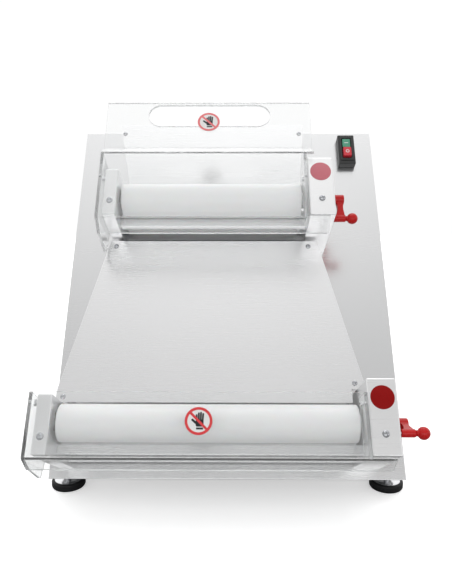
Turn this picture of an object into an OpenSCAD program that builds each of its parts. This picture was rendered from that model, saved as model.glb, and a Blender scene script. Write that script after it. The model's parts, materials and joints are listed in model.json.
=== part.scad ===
/* [Body] */
// Width of the cabinet
body_w = 515; // [490:1:600]
// Angle of the sloping front above the floor, degrees
slope_angle = 58.6; // [57:0.2:61]
// Length of the sloping front
slope_len = 604; // [596:1:640]
// Depth of the flat top behind the slope
top_depth = 101; // [90:1:160]
// Height of the cabinet bottom above the floor
floor_gap = 33; // [30:1:45]
// Thickness of the cabinet sheets
sheet_t = 1.5; // [1:0.1:2.5]

/* [Heads] */
// Clear width between the upper brackets
upper_span = 289; // [260:1:300]
// Clear width between the lower brackets
lower_span = 410; // [380:1:412]
// Distance of the upper head's bottom up the slope
upper_s = 364; // [360:1:368]
// Distance of the lower head's bottom up the slope
lower_s = 18; // [16:1:22]
// Sideways place of both heads' middle
head_x = -22; // [-24:1:-18]
// Width of the drive-side bracket
drive_w = 38.5; // [38:0.5:42]
// Width of the idle-side bracket
idle_w = 19; // [18.5:0.5:22]
// Height of the drive-side bracket along the slope
drive_h = 100; // [98:1:104]
// Height of the idle-side bracket along the slope
idle_h = 78; // [76:1:84]
// How far the brackets stand out of the slope
bracket_d = 124.5; // [123:0.5:130]
// Thickness of the bracket sheet
bracket_t = 2; // [1.5:0.1:2.5]

/* [Rollers] */
// Diameter of the rollers
roller_d = 50; // [49:0.5:50.5]
// Smallest gap between two rollers
min_gap = 0.5; // [0.4:0.1:1]
// Throw of the gap shaft's eccentrics
throw = 3; // [2.5:0.1:3]
// Rest angle of the upper lever, from straight down
upper_lever = 0; // [0:20:120]
// Rest angle of the lower lever, from straight down
lower_lever = 60; // [0:20:120]
// Length of a lever from shaft to plunger
lever_len = 33; // [31:0.5:33]
// Teeth of each roller gear
gear_teeth = 12; // [12:2:12]

/* [Guards] */
// Thickness of the clear guards
guard_t = 4; // [3:0.5:4]
// Distance of the guard face from the slope
guard_n = 139; // [138:0.5:144]
// Height of the upper guard's raised panel above its head
panel_rise = 206; // [190:1:210]
// Width of the feed slot in the upper guard
slot_w = 194; // [120:1:200]
// Height of the feed slot
slot_h = 42; // [30:1:46]

/* [Feet] */
// Diameter of a foot pad
foot_d = 50; // [40:1:50]
// Sideways distance of a foot from the middle
foot_x = 241; // [200:1:241]

/* [Hidden] */
$fn = 64;
UPPER = 0;
LOWER = 1;
head_s = [upper_s, lower_s];
span = [upper_span, lower_span];
lever_rest = [upper_lever, lower_lever];
lever_turn = 120;
gap_travel = 2 * throw * sin(lever_turn / 2);

// Cabinet outline
slope_y = slope_len * cos(slope_angle);
slope_z = slope_len * sin(slope_angle);
body_y = slope_y + top_depth;
body_top = floor_gap + slope_z;

// Heads, measured from each head's lower edge
roller_r = roller_d / 2;
axis_s = 46.4;
rear_n = roller_r + 9.5;
gap_shaft_n = rear_n + roller_d + min_gap + gap_travel / 2;
roller_left = 4;
roller_right = 9;
core_r = 11;
core_bore_r = 8;
gap_shaft_r = 5;
cam_r = 10;
rear_shaft_r = 6;
fit_gap = 0.05;
carrier_half = [16, 18];
lever_out = 20;
knob_out = 31;
knob_r = 8.5;
pin_r = 1.8;
knob_travel = 6;

// Gears and belt drive
gear_m = (roller_d + 0.4) / gear_teeth;
gear_w = 10;
gear_in = 4;
pulley_in = 19;
pulley_w = 8;
pulley_r = 14;
belt_r = 14.3;
belt_t = 2.2;
motor_y = 300;
motor_z = 150;
motor_r = 55;

// Guards
screw_r = 1.5;
pivot_s = 68;
pivot_n = 113;
pivot_r = 2.5;
guard_top = [drive_h, idle_h];
guard_drop = [12, 6];
lip_s = [-26, -17];
lip_n = 112.5;
lip_over = 27;
cheek_gap = 3;
panel_n = guard_n - 16;
panel_s = guard_top[UPPER] + 19;
panel_over = 9;

// Switch
switch_c = [210.5, 560];
switch_size = [29, 60, 14];

// The origin is under the middle of the whole machine
gland_len = 15;
knob_x = head_x + lower_span / 2 + drive_w + knob_out + knob_r;
front_y = (lower_s - guard_drop[LOWER]) * cos(slope_angle) - guard_n * sin(slope_angle);
side_x = max(body_w / 2, foot_x + foot_d / 2);
mid_x = (max(knob_x, side_x) - side_x) / 2;
mid_y = (front_y + body_y + gland_len) / 2;

// Where things are

// Upright frame of the cabinet: y runs back, z up from the floor
module cabinet() {
    translate([-mid_x, -mid_y, 0]) children();
}

// Frame of the sloping front: y runs up the slope, z stands out of it
module slope() {
    cabinet() translate([0, 0, floor_gap]) rotate([slope_angle, 0, 0]) children();
}

// Frame of one head, with its lower edge on y = 0
module head(h) {
    slope() translate([0, head_s[h], 0]) children();
}

function left_x(h) = head_x - span[h] / 2;
function right_x(h) = head_x + span[h] / 2;
function front_n(h) = rear_n + roller_d + min_gap + gap_travel * lever_rest[h] / lever_turn;

// Shapes

// Round bar along x
module bar(x0, x1, r) {
    translate([x0, 0, 0]) rotate([0, 90, 0]) cylinder(h = x1 - x0, r = r);
}

// Prism along x with its outline in the y-z plane
module prism(outline, x0, x1) {
    translate([x0, 0, 0]) rotate([90, 0, 90]) linear_extrude(x1 - x0) polygon(outline);
}

// Outline with straight-sided teeth
function toothed(teeth, root, tip, root_w, tip_w) = [
    for (i = [0:teeth - 1], k = [0:3])
        let (w = k == 0 ? -root_w : k == 1 ? -tip_w : k == 2 ? tip_w : root_w)
        let (r = k == 0 || k == 3 ? root : tip)
        let (a = 360 * i / teeth + asin(w / 2 / r))
        [r * cos(a), r * sin(a)]
];

// Pan-head screw pointing down from z = 0, with its head above
module screw(head_r, head_h, shank_r, len) {
    difference() {
        union() {
            cylinder(h = head_h, r = head_r);
            translate([0, 0, -len]) cylinder(h = len + 0.5, r = shank_r);
        }
        for (a = [0, 90])
            rotate([0, 0, a]) translate([-head_r * 0.6, -0.5, head_h * 0.4])
                cube([head_r * 1.2, 1, head_h]);
    }
}

// The screw that holds plates and covers, through one sheet
module small_screw() {
    screw(4, 2.4, screw_r, sheet_t);
}

// Belt loop between two equal pulleys, the second one at distance d along +x
module loop2d(d, r) {
    circle(r);
    translate([d, 0]) circle(r);
    translate([0, -r]) square([d, 2 * r]);
}

// Cabinet

// Room for the sloping sheet, measured level at its lower and upper edges
slope_in = sheet_t / sin(slope_angle);
slope_run = sheet_t / tan(slope_angle);
side_outline = [
    [slope_run + slope_in, floor_gap + sheet_t],
    [slope_y - slope_run + slope_in, body_top - sheet_t],
    [body_y - sheet_t, body_top - sheet_t],
    [body_y - sheet_t, floor_gap + sheet_t]
];

module side_panel(x) {
    color("silver") cabinet() prism(side_outline, x, x + sheet_t);
}

// A window for each belt and one for the switch
module front_panel() {
    color("silver") slope() difference() {
        translate([-body_w / 2, 0, -sheet_t]) cube([body_w, slope_len, sheet_t]);
        for (h = [UPPER, LOWER])
            translate([right_x(h) + 17, head_s[h] + (h == UPPER ? 2.5 : 50), -5])
                cube([12, h == UPPER ? 44 : 47, 10]);
        translate([switch_c.x - 12, switch_c.y - 26, -5]) cube([24, 52, 10]);
    }
}

module top_panel() {
    front = slope_y + sheet_t * sin(slope_angle);
    color("silver") cabinet() translate([-body_w / 2, front, body_top - sheet_t])
        cube([body_w, body_y - front, sheet_t]);
}

gland_at = [150, 70];

module at_cover_screws() {
    for (x = [-body_w / 2 + 12, 0, body_w / 2 - 12], z = [floor_gap + 14, body_top - 14])
        translate([x, body_y, z]) rotate([-90, 0, 0]) children();
}

// Rear cover with its cable hole and two rows of cooling slots
module rear_cover() {
    color("silver") cabinet() difference() {
        translate([-body_w / 2, body_y - sheet_t, floor_gap + sheet_t])
            cube([body_w, sheet_t, slope_z - 2 * sheet_t]);
        translate([gland_at.x, body_y + 5, floor_gap + gland_at.y]) rotate([90, 0, 0])
            cylinder(h = 20, r = 8);
        for (i = [-5:5], k = [0, 1])
            translate([i * 20 - 3, body_y - 10, floor_gap + 130 + k * 60]) cube([6, 20, 40]);
        at_cover_screws() translate([0, 0, -10]) cylinder(h = 20, r = screw_r);
    }
}

module base_plate() {
    color("silver") cabinet() difference() {
        translate([-body_w / 2, slope_run + slope_in, floor_gap])
            cube([body_w, body_y - slope_run - slope_in, sheet_t]);
        at_feet() translate([0, 0, floor_gap - 5]) cylinder(h = 10, r = 4);
    }
}

module at_feet() {
    for (x = [-foot_x, foot_x], y = [46, body_y - 45]) translate([x, y, 0]) children();
}

module foot_pads() {
    color("black") cabinet() at_feet() difference() {
        union() {
            cylinder(h = 2.5, r1 = foot_d / 2 - 2, r2 = foot_d / 2);
            translate([0, 0, 2.5]) cylinder(h = 7.5, r = foot_d / 2);
            translate([0, 0, 10]) cylinder(h = 2, r1 = foot_d / 2, r2 = foot_d / 2 - 3);
        }
        translate([0, 0, 9]) cylinder(h = 10, r = foot_d / 2 - 4);
    }
}

// Levelling studs: a cupped disc, a lock nut and the stud
module foot_studs() {
    color("gainsboro") cabinet() at_feet() {
        translate([0, 0, 9]) cylinder(h = 4, r = foot_d / 2 - 4.2);
        translate([0, 0, 12]) cylinder(h = floor_gap + 6, r = 4);
        translate([0, 0, floor_gap - 7]) cylinder(h = 7, r = 8, $fn = 6);
        translate([0, 0, floor_gap + sheet_t]) cylinder(h = 7, r = 8, $fn = 6);
    }
}

// Plates that the dough slides on

rim_w = 8;
chute_top = [upper_s - 3.5, 44];
chute_low = [lower_s + 81, 53.3];
chute_tilt = atan((chute_low.y - chute_top.y) / (chute_top.x - chute_low.x));
chute_len = norm(chute_top - chute_low);
feed_top = [slope_len - 19, 45];
feed_low = [upper_s + 74, 50];
feed_tilt = atan((feed_low.y - feed_top.y) / (feed_top.x - feed_low.x));
feed_len = norm(feed_top - feed_low);

// Frame of a tilted plate: y = 0 at its top edge, running down to -length
module tilted(top, tilt) {
    slope() translate([0, top.x, top.y]) rotate([-tilt, 0, 0]) children();
}

chute_outline = [
    [head_x - 164, 0], [head_x + 164, 0], [head_x + 221, 20 - chute_len],
    [head_x + lower_span / 2 - 5, 20 - chute_len], [head_x + lower_span / 2 - 5, -chute_len],
    [head_x - 221, -chute_len], [head_x - 221, 20 - chute_len]
];
feed_outline = [
    [head_x - 163, 0], [head_x + 152, 0], [head_x + upper_span / 2 - 3, 30 - feed_len],
    [head_x + upper_span / 2 - 3, -feed_len], [head_x - upper_span / 2 + 3, -feed_len],
    [head_x - upper_span / 2 + 3, 30 - feed_len]
];

chute_fixings = [
    [head_x - 155, -10], [head_x + 150, -10],
    [head_x + 205, 29 - chute_len], [head_x - 211, 8 - chute_len]
];
feed_fixings = [[head_x - 155, -19], [head_x + 144, -19]];

// Each plate has a folded rim along its straight upper edge
module plate(outline, fixings, top, tilt) {
    color("whitesmoke") tilted(top, tilt) difference() {
        union() {
            linear_extrude(sheet_t) polygon(outline);
            translate([outline[0].x, -sheet_t, -rim_w])
                cube([outline[1].x - outline[0].x, sheet_t, rim_w + 0.5]);
        }
        for (p = fixings) translate([p.x, p.y, -1]) cylinder(h = sheet_t + 2, r = screw_r);
    }
}

module feed_plate() {
    plate(feed_outline, feed_fixings, feed_top, feed_tilt);
}

module chute_plate() {
    plate(chute_outline, chute_fixings, chute_top, chute_tilt);
}

// One post: it stands square on the slope and ends under the plate
module post(top, tilt, at) {
    intersection() {
        tilted(top, tilt) translate([at.x - 20, at.y - 20, -80]) cube([40, 40, 80]);
        tilted(top, tilt) translate([at.x, at.y, 0]) rotate([tilt, 0, 0])
            translate([0, 0, -80]) cylinder(h = 90, r = 5);
        slope() translate([-400, 0, 0]) cube([800, slope_len, 100]);
    }
}

module plate_posts() {
    color("gray") {
        for (p = chute_fixings) post(chute_top, chute_tilt, p);
        for (p = feed_fixings) post(feed_top, feed_tilt, p);
    }
}

module plate_screws() {
    color("gainsboro") {
        for (p = chute_fixings)
            tilted(chute_top, chute_tilt) translate([p.x, p.y, sheet_t]) small_screw();
        for (p = feed_fixings)
            tilted(feed_top, feed_tilt) translate([p.x, p.y, sheet_t]) small_screw();
    }
}

// Heads

// Folded box that is open towards the cabinet
module bracket_box(w, h) {
    difference() {
        cube([w, h, bracket_d]);
        translate([bracket_t, bracket_t, -1])
            cube([w - 2 * bracket_t, h - 2 * bracket_t, bracket_d - bracket_t + 1]);
    }
}

// Rails that guide a gap carrier
module rails(x0, x1) {
    for (s = [axis_s - carrier_half[0] - 4.3, axis_s + carrier_half[0] + 0.3])
        translate([x0, s, gap_shaft_n - 25]) cube([x1 - x0, 4, 50]);
}

// Holes in a bracket's inner wall for the rear bearing, the roller core and a guard pin
module inner_wall_holes(x0, x1) {
    translate([0, axis_s, rear_n]) bar(x0, x1, 14);
    translate([x0, axis_s - core_r - 1, gap_shaft_n - core_r - gap_travel / 2 - 1])
        cube([x1 - x0, 2 * core_r + 2, 2 * core_r + gap_travel + 2]);
}

module left_bracket(h) {
    color("gainsboro") head(h) translate([left_x(h) - idle_w, 0, 0]) difference() {
        union() {
            bracket_box(idle_w, idle_h);
            rails(bracket_t / 2, idle_w - bracket_t / 2);
        }
        inner_wall_holes(idle_w - bracket_t - 1, idle_w + 1);
        translate([0, axis_s, gap_shaft_n]) bar(-1, bracket_t + 1, gap_shaft_r + fit_gap);
        translate([0, pivot_s, pivot_n]) bar(-1, bracket_t + 1, pivot_r);
        translate([idle_w / 2, 23, bracket_d - 10]) cylinder(h = 20, r = 2.5);
    }
}

// The outer wall carries one index hole for each lever step
module right_bracket(h) {
    color("gainsboro") head(h) translate([right_x(h), 0, 0]) difference() {
        union() {
            bracket_box(drive_w, drive_h);
            rails(16, drive_w - bracket_t / 2);
        }
        inner_wall_holes(-1, bracket_t + 1);
        translate([0, pivot_s, pivot_n]) bar(-1, bracket_t + 1, pivot_r);
        translate([0, axis_s, gap_shaft_n]) {
            bar(drive_w - bracket_t - 1, drive_w + 1, gap_shaft_r + fit_gap);
            for (a = [0:20:lever_turn])
                rotate([-a, 0, 0]) translate([0, -lever_len, 0])
                    bar(drive_w - bracket_t - 1, drive_w + 1, pin_r + 0.4);
        }
        translate([drive_w / 2, 27.7, bracket_d - 10]) cylinder(h = 20, r = 2.5);
    }
}

// Large pan-head screws in the bracket fronts, each with its nut
module bracket_screws() {
    color("gainsboro") for (h = [UPPER, LOWER])
        head(h) for (p = [[left_x(h) - idle_w / 2, 23], [right_x(h) + drive_w / 2, 27.7]])
            translate([p.x, p.y, bracket_d]) {
                screw(4.9, 3.2, 2.5, 8);
                translate([0, 0, -bracket_t - 3.5]) difference() {
                    cylinder(h = 3.5, r = 4.4, $fn = 6);
                    translate([0, 0, -1]) cylinder(h = 6, r = 2.5);
                }
            }
}

module marker_discs() {
    color("darkred") for (h = [UPPER, LOWER])
        head(h) translate([right_x(h) + drive_w / 2, 74.6, bracket_d]) cylinder(h = 0.5, r = 15.8);
}

// Rear rollers turn in flanged bearings
module rear_bearings() {
    color("dimgray") for (h = [UPPER, LOWER], x = [left_x(h), right_x(h)])
        head(h) translate([0, axis_s, rear_n]) difference() {
            bar(x - 3, x + 3, 14);
            bar(x - 4, x + 4, rear_shaft_r + fit_gap);
        }
}

module rear_roller(h) {
    color("white") head(h) translate([0, axis_s, rear_n]) difference() {
        bar(left_x(h) + roller_left, right_x(h) - roller_right, roller_r);
        bar(left_x(h), right_x(h), core_r);
    }
}

module rear_shaft(h) {
    color("silver") head(h) translate([0, axis_s, rear_n]) {
        bar(left_x(h) + roller_left, right_x(h) - roller_right, core_r);
        bar(left_x(h) - 8, right_x(h) + pulley_in + pulley_w + 2, rear_shaft_r);
    }
}

// A roller gear: deep teeth stay in mesh over the whole gap travel
module roller_gear(bore_r, phase) {
    pitch_r = gear_m * gear_teeth / 2;
    difference() {
        rotate([phase, 0, 0]) rotate([90, 0, 90]) linear_extrude(gear_w)
            polygon(toothed(gear_teeth, pitch_r - 4.9, pitch_r + 3.8, 6.6, 2.4));
        bar(-1, gear_w + 1, bore_r);
    }
}

module rear_gear(h) {
    color("dimgray") head(h) translate([right_x(h) + gear_in, axis_s, rear_n])
        roller_gear(rear_shaft_r, 90);
}

module front_gear(h) {
    color("dimgray") head(h) translate([right_x(h) + gear_in, axis_s, front_n(h)])
        roller_gear(core_r, 90 + 180 / gear_teeth);
}

// Toothed belt pulley with two flanges
module pulley(bore_r) {
    difference() {
        union() {
            bar(0, 1, pulley_r + 2);
            bar(pulley_w - 1, pulley_w, pulley_r + 2);
            rotate([90, 0, 90]) linear_extrude(pulley_w)
                polygon(toothed(20, pulley_r - 1.2, pulley_r, 2.8, 2));
        }
        bar(-1, pulley_w + 1, bore_r);
    }
}

module rear_pulley(h) {
    color("gray") head(h) translate([right_x(h) + pulley_in, axis_s, rear_n]) pulley(rear_shaft_r);
}

module front_roller(h) {
    color("white") head(h) translate([0, axis_s, front_n(h)]) difference() {
        bar(left_x(h) + roller_left, right_x(h) - roller_right, roller_r);
        bar(left_x(h), right_x(h), core_r);
    }
}

// Hollow steel core: its ends run in the gap carriers, and the gap shaft passes through it
module front_core(h) {
    color("silver") head(h) translate([0, axis_s, front_n(h)]) difference() {
        bar(left_x(h) - 9.2, right_x(h) + 23.8, core_r);
        bar(left_x(h) - 20, right_x(h) + 40, core_bore_r);
    }
}

// A sliding block: one side holds the roller core, the other is a slot for the eccentric
module carrier(x0, x_mid, x1) {
    half = carrier_half;
    difference() {
        translate([min(x0, x1), -half[0], -half[1]]) cube([abs(x1 - x0), 2 * half[0], 2 * half[1]]);
        bar(min(x0, x_mid) - 0.5, max(x0, x_mid), core_r + fit_gap);
        translate([min(x_mid, x1) - 0.5, -cam_r - throw - 0.5, -cam_r - 0.3])
            cube([abs(x1 - x_mid) + 1, 2 * (cam_r + throw) + 1, 2 * cam_r + 0.6]);
    }
}

module gap_carriers(h) {
    color("goldenrod") head(h) translate([0, axis_s, front_n(h)]) {
        translate([right_x(h), 0, 0]) carrier(17, 24, 31);
        translate([left_x(h), 0, 0]) mirror([1, 0, 0]) carrier(3, 9.5, 16);
    }
}

// Cross shaft with an eccentric at each end; the lever turns it
module gap_shaft(h) {
    color("silver") head(h) translate([0, axis_s, gap_shaft_n]) {
        bar(left_x(h) - idle_w, right_x(h) + drive_w + 4, gap_shaft_r);
        rotate([lever_turn / 2 - lever_rest[h], 0, 0]) translate([0, -throw, 0]) {
            bar(left_x(h) - 15.4, left_x(h) - 10.4, cam_r);
            bar(right_x(h) + 25, right_x(h) + 30, cam_r);
        }
    }
}

// Moulded lever: hub, waisted arm and the plunger's sleeve
module gap_lever(h) {
    x = right_x(h) + drive_w;
    color("red") head(h) translate([x, axis_s, gap_shaft_n]) rotate([-lever_rest[h], 0, 0])
        difference() {
            union() {
                bar(1, lever_out, 8);
                translate([8, -lever_len, -4.5]) cube([lever_out - 9, lever_len, 9]);
                translate([0, -lever_len, 0]) bar(2, lever_out + 1, 5.4);
            }
            bar(-1, 4, gap_shaft_r);
            translate([0, -lever_len, 0]) bar(1, lever_out + 5, pin_r + fit_gap);
        }
}

// Ball knob and plunger; the plunger's tip rides just off the index holes
module index_knob(h) {
    x = right_x(h) + drive_w;
    color("firebrick") head(h) translate([x, axis_s, gap_shaft_n]) rotate([-lever_rest[h], 0, 0])
        translate([0, -lever_len, 0]) {
            bar(0.3, knob_out - 3, pin_r);
            bar(lever_out + 1.3, knob_out - 3, 4);
            translate([knob_out, 0, 0]) sphere(knob_r);
        }
}

// Two cross bars, each with a blade close to its roller
module scrapers(h) {
    x0 = left_x(h);
    x1 = right_x(h);
    color("silver") head(h) {
        translate([x0, 8, 64]) cube([x1 - x0, 12, 12]);
        translate([x0 + roller_left, 19, 72]) cube([x1 - x0 - roller_left - roller_right, 5.2, 1]);
        translate([x0, 6, 16]) cube([x1 - x0, 8, 15]);
        translate([x0 + roller_left, 13, 29.5]) cube([x1 - x0 - roller_left - roller_right, 8.3, 1]);
    }
}

// Guards

function guard_left(h) = left_x(h) - idle_w - cheek_gap - guard_t;
function guard_right(h) = right_x(h) - cheek_gap;

// Bent face with its lower lip; t is the sheet's thickness square to each face
module guard_face(h) {
    n0 = guard_n - guard_t;
    drop = -guard_drop[h];
    prism([[drop, guard_n], [guard_top[h], guard_n], [guard_top[h], n0], [drop, n0]],
        guard_left(h), guard_right(h));
    prism([[drop, guard_n], [lip_s[h], lip_n], [lip_s[h] + guard_t, lip_n], [drop + guard_t, n0]],
        guard_left(h), right_x(h) + lip_over);
}

module guard_cheeks(h) {
    top = guard_top[h];
    drop = -guard_drop[h];
    prism([[drop, guard_n], [lip_s[h], lip_n], [lip_s[h] - 6, 60], [20, 45], [top - 4, 95],
        [top, guard_n]], guard_left(h), guard_left(h) + guard_t);
    prism([[drop, guard_n - 1], [drop + 2, 105], [top, 105], [top, guard_n - 1]],
        guard_right(h) - guard_t, guard_right(h));
}

// Raised panel of the upper guard, stepped back, with a slot to feed the dough through
module guard_panel() {
    x0 = guard_left(UPPER);
    x1 = right_x(UPPER) + panel_over;
    top = guard_top[UPPER];
    n0 = guard_n - guard_t;
    difference() {
        union() {
            prism([[top, guard_n], [panel_s, panel_n], [panel_s, panel_n - guard_t], [top, n0]],
                x0, guard_right(UPPER));
            prism([[top + 3, guard_n - 2.6], [panel_s, panel_n], [panel_s, panel_n - guard_t],
                [top + 3, n0 - 2.6]], x0, x1);
            prism([[panel_s, panel_n], [panel_rise, panel_n], [panel_rise, panel_n - guard_t],
                [panel_s, panel_n - guard_t]], x0, x1);
        }
        translate([head_x - 7, 181, panel_n - 10]) {
            for (sx = [-1, 1])
                translate([sx * (slot_w - slot_h) / 2, 0, 0]) cylinder(h = 20, r = slot_h / 2);
            translate([-(slot_w - slot_h) / 2, -slot_h / 2, 0]) cube([slot_w - slot_h, slot_h, 20]);
        }
    }
}

module guard(h) {
    color("lightcyan", 0.4) head(h) difference() {
        union() {
            guard_face(h);
            guard_cheeks(h);
            if (h == UPPER) guard_panel();
        }
        translate([0, pivot_s, pivot_n])
            bar(guard_left(h) - 1, guard_right(h) + 1, pivot_r + fit_gap);
    }
}

// Shoulder screws that the guard swings on
module guard_pins(h) {
    x0 = guard_left(h);
    x1 = guard_right(h);
    color("gray") head(h) translate([0, pivot_s, pivot_n]) {
        bar(x0 - 0.3, left_x(h) - idle_w + bracket_t + 0.8, pivot_r);
        bar(x0 - 2.3, x0 - 0.3, 4.5);
        bar(x1 - guard_t - 0.3, right_x(h) + bracket_t + 0.8, pivot_r);
        bar(x1 - guard_t - 1.5, x1 - guard_t - 0.3, 4);
    }
}

// Switch

module at_switch() {
    slope() translate([switch_c.x, switch_c.y, 0]) children();
}

start_size = [14, 17, 12];
stop_size = [14, 18, 18];
start_y = 12.5;
stop_y = -8.5;
button_gap = 0.4;

module button_well(size, y) {
    translate([-size.x / 2 - button_gap, y - size.y / 2 - button_gap, -22])
        cube([size.x + 2 * button_gap, size.y + 2 * button_gap, 60]);
}

module switch_housing() {
    size = switch_size;
    color("black") at_switch() difference() {
        union() {
            translate([-size.x / 2, -size.y / 2, 0]) cube(size);
            translate([-12, -26, -28]) cube([24, 52, 29]);
        }
        button_well(start_size, start_y);
        button_well(stop_size, stop_y);
    }
}

module button(size, y, top) {
    at_switch() translate([-size.x / 2, y - size.y / 2, top - size.z]) cube(size);
}

module start_button() {
    color("seagreen") button(start_size, start_y, 15);
}

module stop_button() {
    color("red") button(stop_size, stop_y, 20);
}

// Drive

module at_motor() {
    cabinet() translate([0, motor_y, motor_z]) children();
}

module motor() {
    color("dimgray") at_motor() difference() {
        union() {
            bar(-90, 70, motor_r);
            translate([70, -48, -48]) cube([40, 96, 96]);
            translate([-50, -25, motor_r - 5]) cube([80, 50, 25]);
        }
        bar(60, 112, 7 + fit_gap);
    }
}

module motor_stand() {
    low = floor_gap + sheet_t - motor_z;
    color("silver") at_motor() {
        translate([-70, -50, -motor_r - 3]) cube([130, 100, 3]);
        for (y = [-50, 47]) translate([-70, y, low]) cube([130, 3, -motor_r - 2 - low]);
        for (y = [-70, 47]) translate([-70, y, low]) cube([130, 23, 3]);
    }
}

module motor_shaft() {
    color("silver") at_motor() bar(62, right_x(LOWER) + pulley_in + pulley_w + 2, 7);
}

module motor_pulleys() {
    color("gray") at_motor() for (h = [UPPER, LOWER])
        translate([right_x(h) + pulley_in, 0, 0]) pulley(7);
}

// Each belt runs from the motor shaft up to its head's rear shaft
module belt(h) {
    s = head_s[h] + axis_s;
    y = s * cos(slope_angle) - rear_n * sin(slope_angle);
    z = floor_gap + s * sin(slope_angle) + rear_n * cos(slope_angle);
    dy = y - motor_y;
    dz = z - motor_z;
    color("black") at_motor() translate([right_x(h) + pulley_in + 1.3, 0, 0])
        rotate([atan2(dz, dy), 0, 0]) rotate([90, 0, 90]) linear_extrude(pulley_w - 2.6) difference() {
            loop2d(norm([dy, dz]), belt_r + belt_t);
            loop2d(norm([dy, dz]), belt_r);
        }
}

module run_capacitor() {
    color("whitesmoke") cabinet() translate([-150, motor_y, floor_gap + sheet_t]) {
        cylinder(h = 72, r = 20);
        cylinder(h = 8, r = 23);
    }
}

module cable_gland() {
    color("black") cabinet() translate([gland_at.x, body_y, floor_gap + gland_at.y])
        rotate([-90, 0, 0]) difference() {
            union() {
                translate([0, 0, -12]) cylinder(h = 20, r = 8);
                cylinder(h = 5, r = 12, $fn = 6);
                translate([0, 0, 5]) cylinder(h = gland_len - 5, r = 10);
                translate([0, 0, -sheet_t - 5]) cylinder(h = 5, r = 12, $fn = 6);
            }
            translate([0, 0, -20]) cylinder(h = 60, r = 4);
        }
}

module cover_screws() {
    color("gainsboro") cabinet() at_cover_screws() small_screw();
}

front_panel();
side_panel(-body_w / 2);  // left_side_panel
side_panel(body_w / 2 - sheet_t);  // right_side_panel
top_panel();
rear_cover();
base_plate();
foot_pads();
foot_studs();
feed_plate();
chute_plate();
plate_posts();
plate_screws();
bracket_screws();
marker_discs();
switch_housing();
start_button();
stop_button();
motor();
motor_stand();
motor_shaft();
motor_pulleys();
belt(UPPER);  // upper_belt
belt(LOWER);  // lower_belt
run_capacitor();
cable_gland();
rear_bearings();
cover_screws();

for (h = [UPPER, LOWER]) {
    name = ["upper", "lower"][h];
    left_bracket(h);
    right_bracket(h);
    rear_roller(h);
    rear_shaft(h);
    rear_gear(h);
    rear_pulley(h);
    front_roller(h);
    front_core(h);
    front_gear(h);
    gap_carriers(h);
    gap_shaft(h);
    gap_lever(h);
    index_knob(h);
    scrapers(h);
    guard(h);
    guard_pins(h);
}
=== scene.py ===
# Looks of a two-stage dough sheeter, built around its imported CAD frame. Lengths are metres.
import json
import math

import bmesh
import bpy
from mathutils import Matrix, Vector


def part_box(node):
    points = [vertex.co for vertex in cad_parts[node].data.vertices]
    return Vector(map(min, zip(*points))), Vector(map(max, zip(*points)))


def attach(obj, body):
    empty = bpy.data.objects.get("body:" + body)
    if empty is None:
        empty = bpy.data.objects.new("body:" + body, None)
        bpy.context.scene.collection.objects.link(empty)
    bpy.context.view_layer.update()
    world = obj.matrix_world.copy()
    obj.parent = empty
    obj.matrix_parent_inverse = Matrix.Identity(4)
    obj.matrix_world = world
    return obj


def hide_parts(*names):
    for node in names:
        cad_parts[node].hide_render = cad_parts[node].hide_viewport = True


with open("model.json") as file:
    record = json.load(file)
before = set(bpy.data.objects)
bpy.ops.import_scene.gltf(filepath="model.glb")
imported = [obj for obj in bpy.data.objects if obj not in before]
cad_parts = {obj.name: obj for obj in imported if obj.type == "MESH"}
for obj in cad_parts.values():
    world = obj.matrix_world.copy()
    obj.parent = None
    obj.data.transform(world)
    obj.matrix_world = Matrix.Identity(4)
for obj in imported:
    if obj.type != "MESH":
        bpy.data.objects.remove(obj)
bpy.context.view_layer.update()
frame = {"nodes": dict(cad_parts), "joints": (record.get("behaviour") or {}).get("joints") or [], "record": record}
NODES = frame["nodes"]
JOINTS = {j["name"]: j for j in frame["joints"]}
MM = 0.001

# Places, all taken from the frame

# The sloping front: local x is across, y runs up the slope and z stands out of it
out_of_slope = Vector(JOINTS["upper_gap_slide"]["axis"])
slope_angle = math.atan2(-out_of_slope.y, out_of_slope.z)
slope_corner = Vector((0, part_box("front_panel")[0].y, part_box("base_plate")[0].z))
SLOPE = Matrix.Translation(slope_corner) @ Matrix.Rotation(slope_angle, 4, "X")

# Turns a local z axis to x, x to y and y to z
ALONG_X = Matrix(((0, 0, 1, 0), (1, 0, 0, 0), (0, 1, 0, 0), (0, 0, 0, 1)))


def box_of(points):
    """Lowest and highest corners of the box round the points."""
    return [Vector(f(p[i] for p in points) for i in range(3)) for f in (min, max)]


def slope_box(node):
    """Lowest and highest corners of a CAD node in the sloping front's own directions."""
    back = SLOPE.inverted()
    return box_of([back @ v.co for v in NODES[node].data.vertices])


def on_slope(point):
    """A point of the object's frame in the sloping front's directions."""
    return SLOPE.inverted() @ Vector(point)


def middle_at(low, high, z):
    """The point halfway between two corners in x and y, at height z."""
    return Vector(((low.x + high.x) / 2, (low.y + high.y) / 2, z))


# Camera

CAMERA_AT = (5.4 * MM, -948.0 * MM, 431.0 * MM)
CAMERA_DOWN = math.radians(9.04)
CAMERA_LEFT = math.radians(0.48)
LENS_MM = 36.13
SENSOR_MM = 36


def add_camera():
    camera = bpy.data.objects.new("camera", bpy.data.cameras.new("camera"))
    camera.data.lens = LENS_MM
    camera.data.sensor_fit = "AUTO"
    camera.data.sensor_width = SENSOR_MM
    camera.location = CAMERA_AT
    camera.rotation_euler = (math.pi / 2 - CAMERA_DOWN, 0, CAMERA_LEFT)
    bpy.context.scene.collection.objects.link(camera)
    bpy.context.scene.camera = camera


add_camera()

# Node trees. An owner is a material or the world.


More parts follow.
